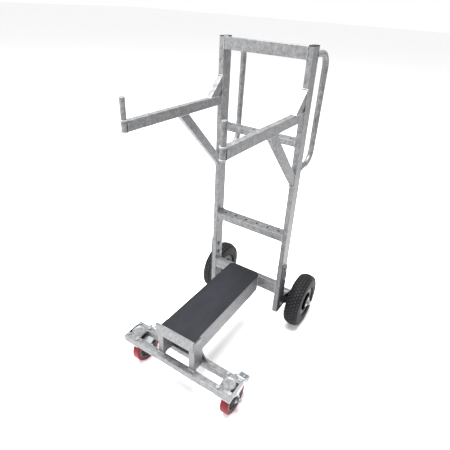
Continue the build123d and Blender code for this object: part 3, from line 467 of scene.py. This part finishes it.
def end_loop(node, x):
    """Outline of a cross tube's end, in the plane square to X."""
    low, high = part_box(node)
    return [(x, low.y, low.z), (x, high.y, low.z), (x, high.y, high.z), (x, low.y, high.z)]


def face_loop(y, left, right, low, high):
    """Rectangle in the plane square to Y."""
    return [(left, y, low), (right, y, low), (right, y, high), (left, y, high)]


def level_loop(z, left, right, front, back):
    """Rectangle in the plane square to Z."""
    return [(left, front, z), (right, front, z), (right, back, z), (left, back, z)]


def weld_frame(torch, side, sign):
    """One side's welds on the uprights, the arm, its brace and strut, and the handle."""
    upright_low, upright_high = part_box("upright_right")
    front = upright_low.y
    for node in ("top_beam", "upper_rung", "lower_rung", "bottom_crossbar"):
        torch.loop(end_loop(node, sign * upright_low.x))

    low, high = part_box(f"arm_{side}")
    middle_x = (low.x + high.x) / 2
    torch.loop(face_loop(front, low.x, high.x, low.z, high.z))
    post_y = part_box("arm_posts")[0].y + POST_RADIUS
    for z in (low.z, high.z):
        torch.ring(Vector((middle_x, post_y, z)), (0, 0, 1), POST_RADIUS)

    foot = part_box("arm_braces")[0]
    left, right = middle_x - BRACE_HALF, middle_x + BRACE_HALF
    torch.loop(face_loop(front, left, right, foot.z, foot.z + BRACE_ON_UPRIGHT))
    torch.loop(level_loop(low.z, left, right, foot.y, foot.y + BRACE_ON_ARM))
    strut_low, strut_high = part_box("arm_struts")
    left, right = middle_x - STRUT_HALF, middle_x + STRUT_HALF
    torch.loop(face_loop(front, left, right, strut_high.z, strut_high.z - STRUT_ON_UPRIGHT))
    torch.loop(level_loop(high.z, left, right, strut_low.y, strut_low.y + STRUT_ON_ARM))

    bar_low, bar_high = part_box(f"handle_{side}")
    for z in (bar_high.z - HANDLE_RADIUS, bar_low.z + HANDLE_RADIUS):
        torch.ring(Vector((middle_x, upright_high.y, z)), (0, 1, 0), HANDLE_RADIUS)
    hub = middle(f"rear_rim_{side}")
    torch.ring(Vector((sign * upright_high.x, hub.y, hub.z)), (1, 0, 0), AXLE_TUBE_RADIUS)
    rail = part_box("deck_rails")[1].x
    bar_low, bar_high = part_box("bottom_crossbar")
    for x in (rail, rail - BEAM_SIDE):
        torch.line((sign * x, front, bar_low.z), (sign * x, front, bar_high.z))


def weld_foot(torch, thin, side, sign):
    """One side's welds on the foot: leg, rail, lip, carrier plate, end strip and gusset."""
    legs_low, legs_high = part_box("legs")
    beams_low, beams_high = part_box("foot_beams")
    rails_low, rails_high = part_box("deck_rails")
    top = beams_high.z
    leg_in, leg_out = legs_high.x - BEAM_SIDE, legs_high.x
    for y in (legs_low.y, legs_high.y):
        torch.line((sign * leg_in, y, top), (sign * leg_out, y, top))
    for x in (leg_in, leg_out):
        torch.line((sign * x, legs_low.y, top), (sign * x, beams_low.y + BEAM_SIDE, top))
    torch.line((sign * rails_high.x, legs_high.y, rails_low.z),
               (sign * rails_high.x, legs_high.y, rails_high.z))
    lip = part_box("deck_front_lip")[0].z
    torch.line((sign * leg_out, legs_low.y, lip), (sign * leg_out, legs_low.y, legs_high.z))

    caster = abs(middle(f"caster_core_{side}").x)
    for y in (beams_low.y + BEAM_SIDE, beams_high.y - BEAM_SIDE):
        for x in (caster - PLATE_INNER, caster):
            thin.line((sign * x, y, top), (sign * (x + PLATE_OUTER), y, top))
    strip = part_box("foot_end_strips")[1].x - END_STRIP
    for y in (beams_low.y, beams_high.y - BEAM_SIDE):
        thin.line((sign * strip, y + END_STRIP, top),
                  (sign * strip, y + BEAM_SIDE - END_STRIP, top))
    gusset_low, gusset_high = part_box("leg_gussets")
    for y in (gusset_low.y, gusset_high.y):
        thin.line((sign * rails_high.x, y, top), (sign * gusset_high.x, y, top))
        thin.line((sign * rails_high.x, y, rails_low.z), (sign * rails_high.x, y, gusset_high.z))


class CART_OT_welds(bpy.types.Operator):
    """Lay the weld beads where tubes and plates meet"""
    bl_idname = "cart.welds"
    bl_label = "Welds"

    def execute(self, context):
        sizes = context.scene.cart_sizes
        bead, small = bead_stamp(sizes.bead_radius), bead_stamp(sizes.bead_radius * 0.8)
        metal = weld_metal("Weld metal", context.scene.cart_colours.metal)
        frame_bm, foot_bm = bmesh.new(), bmesh.new()
        on_frame = Torch(frame_bm, bead, sizes.bead_pitch)
        on_foot = Torch(foot_bm, bead, sizes.bead_pitch)
        thin = Torch(foot_bm, small, sizes.bead_pitch)
        for side, sign in SIDES:
            weld_frame(on_frame, side, sign)
            weld_foot(on_foot, thin, side, sign)
        bead.done()
        small.done()
        finish_piece("frame_welds", frame_bm, "frame", metal)
        finish_piece("foot_welds", foot_bm, "frame", metal)
        return {"FINISHED"}


# ------------------------------------------------------------------ frame and deck
class CART_OT_frame(bpy.types.Operator):
    """Finish the bare metal tubes and plates of the frame"""
    bl_idname = "cart.frame"
    bl_label = "Frame"

    def execute(self, context):
        colours = context.scene.cart_colours
        width = context.scene.cart_sizes.edge_round
        metal = mill_metal("Mill metal", colours.metal)
        dress(["upright_left", "upright_right", "top_beam", "upper_rung", "lower_rung",
               "bottom_crossbar", "arm_left", "arm_right", "arm_posts", "arm_braces",
               "arm_struts", "axle_tube", "foot_beams", "foot_end_strips",
               "leg_gussets", "deck_rails", "legs", "deck_front_lip"], metal, width)
        dress(["handle_left", "handle_right"], metal)
        dress(["upright_caps"], moulded("Plug plastic", shade(colours.tyre, 1.6)), width)
        # The axle brackets are given a near-black colour.
        dress(["axle_bracket_left", "axle_bracket_right"],
              near_black_plate("Near-black bracket plate", colours.bracket_dark), width)
        return {"FINISHED"}


class CART_OT_deck(bpy.types.Operator):
    """Finish the deck board, its gripping sheet and its screws"""
    bl_idname = "cart.deck"
    bl_label = "Deck"

    def execute(self, context):
        colours = context.scene.cart_colours
        width = context.scene.cart_sizes.edge_round
        grip = gritted_sheet("Deck grip", colours.grip)
        dress(["deck_grip_sheet", "deck_screws"], grip, width)
        dress(["deck_board"], mill_metal("Deck plate", colours.metal, 0.75, 1.2), width)
        return {"FINISHED"}


def press_dome(bm, foot, height):
    """A low closed dome with a sunk crown, standing on foot."""
    place = Matrix.Translation(foot + Vector((0, 0, height / 2)))
    dome = bmesh.ops.create_cone(bm, cap_ends=True, segments=64, radius1=DOME_FOOT,
                                 radius2=DOME_CREST, depth=height, matrix=place)["verts"]
    faces = {face for vert in dome for face in vert.link_faces}
    crest = max(faces, key=lambda face: face.calc_center_median().z)
    bmesh.ops.inset_region(bm, faces=[crest], thickness=DOME_RIM, depth=-DOME_SINK)


class CART_OT_carrier_plates(bpy.types.Operator):
    """Build the foot's carrier plates, each with a low pressed dome over its caster"""
    bl_idname = "cart.carrier_plates"
    bl_label = "Carrier plates"

    def execute(self, context):
        metal = mill_metal("Carrier plate metal", context.scene.cart_colours.metal)
        low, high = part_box("foot_carrier_plates")
        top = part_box("foot_beams")[1].z
        middle_y = (low.y + high.y) / 2
        bm = bmesh.new()
        for side, sign in SIDES:
            caster = middle(f"caster_core_{side}").x
            plate = block_stamp((PLATE_INNER + PLATE_OUTER, PLATE_ACROSS, top - low.z))
            plate_x = caster + sign * (PLATE_OUTER - PLATE_INNER) / 2
            plate.press(bm, Matrix.Translation((plate_x, middle_y, (low.z + top) / 2)))
            plate.done()
            press_dome(bm, Vector((caster, middle_y, top)), high.z - top)
        piece = finish_piece("carrier_plates", bm, "frame", metal, flat=True)
        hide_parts("foot_carrier_plates")
        round_edges(piece, 0.4 * MM)
        return {"FINISHED"}


# ------------------------------------------------------------------ wheels
def arch_fall(offset):
    """How far the tread's arch has fallen at that offset from the tyre's middle."""
    return TREAD_FALL * (offset / TREAD_HALF) ** 2


def tyre_outline(rim, half, crown):
    """Corners of the tyre's section as (radius, offset), from one rim seat to the other."""
    flank = [(rim + beyond * MM, out * MM) for beyond, out in RIM_SEAT]
    flank += [(rim + beyond * MM, half - inward * MM) for beyond, inward in SIDEWALL]
    flank.append((crown - TREAD_FALL, SHOULDER))
    arch = [(crown - arch_fall(x * MM), x * MM) for x in ARCH_POINTS]
    return flank + arch + [(radius, -offset) for radius, offset in reversed(flank)]


def tread_blocks(bm, centre, outer, count):
    """Rows of raised blocks round the tyre, each leaning with the arch."""
    pitch = 2 * pi / count
    for offset, wide, shift in TREAD_ROWS:
        offset *= MM
        lean = atan2(2 * TREAD_FALL * offset / TREAD_HALF ** 2, 1.0)
        block = block_stamp((wide * MM, BLOCK_LENGTH * pitch * outer, BLOCK_HEIGHT))
        reach = outer - BLOCK_SET_BACK - arch_fall(offset) - BLOCK_HEIGHT / 2
        for step in range(count):
            block.press(bm, (Matrix.Translation(centre)
                             @ Matrix.Rotation((step + shift) * pitch, 4, "X")
                             @ Matrix.Translation((offset, 0, reach))
                             @ Matrix.Rotation(lean, 4, "Y")))
        block.done()


class CART_OT_rear_tyres(bpy.types.Operator):
    """Build the block-tread tyres and finish the rear rims"""
    bl_idname = "cart.rear_tyres"
    bl_label = "Rear tyres"

    def execute(self, context):
        sizes = context.scene.cart_sizes
        colours = context.scene.cart_colours
        rubber = moulded("Tyre rubber", colours.tyre, 0.62, 420.0)
        # The tread blocks are the tyre's own rubber painted six times lighter: a painted highlight
        # for the light the block faces catch.
        lit_tread_rubber = moulded("Tread rubber painted light", shade(colours.tyre, 6.0), 0.7, 420.0)
        rim_black = moulded("Rim black", shade(colours.tyre, 0.9), 0.35, 500.0)
        for side, _ in SIDES:
            low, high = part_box(f"rear_tyre_{side}")
            centre = (low + high) / 2
            outer = (high.z - low.z) / 2
            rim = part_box(f"rear_rim_{side}")[1].z - centre.z
            bm = bmesh.new()
            outline = tyre_outline(rim, (high.x - low.x) / 2, outer - sizes.tread_depth)
            turned(bm, outline, centre, TYRE_STEPS)
            tyre = finish_piece(f"rear_tyre_shell_{side}", bm, f"wheel_{side}",
                                rubber)
            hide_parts(f"rear_tyre_{side}")
            tyre.data.set_sharp_from_angle(angle=radians(50))
            bm = bmesh.new()
            tread_blocks(bm, centre, outer, sizes.tread_blocks)
            blocks = finish_piece(f"rear_tread_blocks_{side}", bm, f"wheel_{side}",
                                  lit_tread_rubber, flat=True)
            round_edges(blocks, 0.6 * MM, 1)
            dress([f"rear_rim_{side}"], rim_black)
            dress([f"rear_inner_tube_{side}"], rubber)
        return {"FINISHED"}


class CART_OT_caster_wheels(bpy.types.Operator):
    """Finish the caster wheels and add the ribs of their cores"""
    bl_idname = "cart.caster_wheels"
    bl_label = "Caster wheels"

    def execute(self, context):
        colours = context.scene.cart_colours
        ribs = context.scene.cart_sizes.core_ribs
        red = moulded("Red tread", colours.tread, 0.42, 260.0)
        grey = moulded("Core plastic", colours.core, 0.45, 260.0)
        for side, _ in SIDES:
            centre = middle(f"caster_core_{side}")
            rib = block_stamp(CORE_RIB)
            bm = bmesh.new()
            for face in (-1, 1):
                for step in range(ribs):
                    out = Matrix.Translation((face * CORE_RIB_OFFSET, 0, CORE_RIB_RADIUS))
                    rib.press(bm, (Matrix.Translation(centre)
                                   @ Matrix.Rotation(2 * pi * step / ribs, 4, "X") @ out))
            rib.done()
            piece = finish_piece(f"caster_core_ribs_{side}", bm, f"caster_wheel_{side}",
                                 grey, flat=True)
            round_edges(piece, 0.5 * MM, 2)
            dress([f"caster_tread_{side}"], red)
            dress([f"caster_core_{side}"], grey)
        return {"FINISHED"}


# ------------------------------------------------------------------ casters and fasteners
class CART_OT_hardware(bpy.types.Operator):
    """Finish the plated forks, pins, bolts, nuts and bearings"""
    bl_idname = "cart.hardware"
    bl_label = "Hardware"

    def execute(self, context):
        width = context.scene.cart_sizes.edge_round
        zinc = plated_steel("Zinc plate", context.scene.cart_colours.zinc)
        polished = plated_steel("Bearing steel", context.scene.cart_colours.bearing)
        dress(["rear_axle", "axle_spacers", "axle_washers", "axle_nuts",
               "bracket_bolts", "caster_bolts", "lock_nuts", "thread_inserts",
               "caster_top_plates", "kingpins"], zinc, width)
        dress(["swivel_balls"], polished)
        for side, _ in SIDES:
            dress([f"caster_fork_{side}", f"caster_axle_{side}", f"brake_pin_{side}"],
                  zinc, width)
            dress([f"rear_bearings_{side}", f"caster_bearings_{side}"], polished)
        return {"FINISHED"}


class CART_OT_brake_pedals(bpy.types.Operator):
    """Finish the brake pedals and press the ribs into their treads"""
    bl_idname = "cart.brake_pedals"
    bl_label = "Brake pedals"

    def execute(self, context):
        width = context.scene.cart_sizes.edge_round
        zinc = plated_steel("Pedal plate", context.scene.cart_colours.zinc)
        for side, _ in SIDES:
            low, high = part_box(f"brake_pedal_{side}")
            bm = bmesh.new()
            for step in range(PEDAL_RIBS):
                back = high.y - PEDAL_RIB_FIRST - PEDAL_RIB_PITCH * step
                place = Matrix.Translation(((low.x + high.x) / 2, back, low.z + PEDAL_PAD_RISE))
                bmesh.ops.create_cone(bm, cap_ends=True, segments=12, radius1=PEDAL_RIB_RADIUS,
                                      radius2=PEDAL_RIB_RADIUS, depth=PEDAL_RIB_LENGTH,
                                      matrix=place @ Matrix.Rotation(pi / 2, 4, "Y"))
            finish_piece(f"brake_pedal_ribs_{side}", bm, f"brake_{side}",
                         zinc)
            dress([f"brake_pedal_{side}"], zinc, width)
        return {"FINISHED"}


# ------------------------------------------------------------------ studio
def lay_floor(scene):
    """A plain pale floor that isn't part of the object."""
    bm = bmesh.new()
    bmesh.ops.create_grid(bm, x_segments=1, y_segments=1, size=FLOOR_SIZE)
    mesh = bpy.data.meshes.new("studio_floor")
    bm.to_mesh(mesh)
    bm.free()
    floor = bpy.data.objects.new("studio_floor", mesh)
    scene.collection.objects.link(floor)
    shop = Shop("Studio floor")
    mesh.materials.append(shop.surface(Base_Color=(0.93, 0.93, 0.93, 1.0), Roughness=0.9))


def hang_lamps(scene):
    """An even white surround and the soft lamps."""
    world = bpy.data.worlds.new("Studio")
    world.use_nodes = True
    surround = world.node_tree.nodes["Background"]
    surround.inputs["Color"].default_value = (1.0, 1.0, 1.0, 1.0)
    surround.inputs["Strength"].default_value = 1.0
    scene.world = world
    for name, place, aim, size, power in LAMPS:
        lamp = bpy.data.lights.new(name, "AREA")
        lamp.shape = "DISK"
        lamp.size = size
        lamp.energy = power
        light = bpy.data.objects.new(name, lamp)
        scene.collection.objects.link(light)
        light.location = place
        way = Vector(aim) - Vector(place)
        light.rotation_euler = way.to_track_quat("-Z", "Y").to_euler()


def set_camera(scene):
    """A camera at the front right of the uprights, looking down and slightly rolled."""
    back = Vector((sin(CAMERA_TURN) * cos(CAMERA_RISE),
                   -cos(CAMERA_TURN) * cos(CAMERA_RISE), sin(CAMERA_RISE)))
    level = Vector((cos(CAMERA_TURN), sin(CAMERA_TURN), 0.0))
    upward = back.cross(level)
    right = cos(CAMERA_ROLL) * level + sin(CAMERA_ROLL) * upward
    top = -sin(CAMERA_ROLL) * level + cos(CAMERA_ROLL) * upward
    lens = bpy.data.cameras.new("Studio camera")
    lens.sensor_width = 36.0
    lens.lens = CAMERA_LENS
    lens.shift_x, lens.shift_y = CAMERA_SHIFT
    lens.clip_end = 60.0
    camera = bpy.data.objects.new("Studio camera", lens)
    scene.collection.objects.link(camera)
    place = Matrix((right, top, back)).transposed().to_4x4()
    place.translation = CAMERA_PLACE
    camera.matrix_world = place
    scene.camera = camera


class CART_OT_stage(bpy.types.Operator):
    """Lay the pale floor and set the soft studio light and the camera"""
    bl_idname = "cart.stage"
    bl_label = "Stage"

    def execute(self, context):
        lay_floor(context.scene)
        hang_lamps(context.scene)
        set_camera(context.scene)
        context.scene.view_settings.view_transform = "Standard"
        return {"FINISHED"}


class CART_PT_panel(bpy.types.Panel):
    """The cart's sizes, colours and building steps"""
    bl_idname = "CART_PT_panel"
    bl_label = "Cart"
    bl_space_type = "VIEW_3D"
    bl_region_type = "UI"
    bl_category = "Cart"

    def draw(self, context):
        for settings in (context.scene.cart_sizes, context.scene.cart_colours):
            for key in settings.__annotations__:
                self.layout.prop(settings, key)
        for step in STEPS:
            self.layout.operator(step.bl_idname)


STEPS = (CART_OT_frame, CART_OT_deck, CART_OT_carrier_plates, CART_OT_welds,
         CART_OT_rear_tyres, CART_OT_caster_wheels, CART_OT_hardware,
         CART_OT_brake_pedals, CART_OT_stage)
CLASSES = (CartSizes, CartColours, *STEPS, CART_PT_panel)


def register():
    for cls in CLASSES:
        bpy.utils.register_class(cls)
    bpy.types.Scene.cart_sizes = bpy.props.PointerProperty(type=CartSizes)
    bpy.types.Scene.cart_colours = bpy.props.PointerProperty(type=CartColours)


def unregister():
    del bpy.types.Scene.cart_colours
    del bpy.types.Scene.cart_sizes
    for cls in reversed(CLASSES):
        bpy.utils.unregister_class(cls)


def main():
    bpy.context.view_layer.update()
    register()
    for step in STEPS:
        group, name = step.bl_idname.split(".")
        getattr(getattr(bpy.ops, group), name)()


if __name__ == "__main__":
    main()
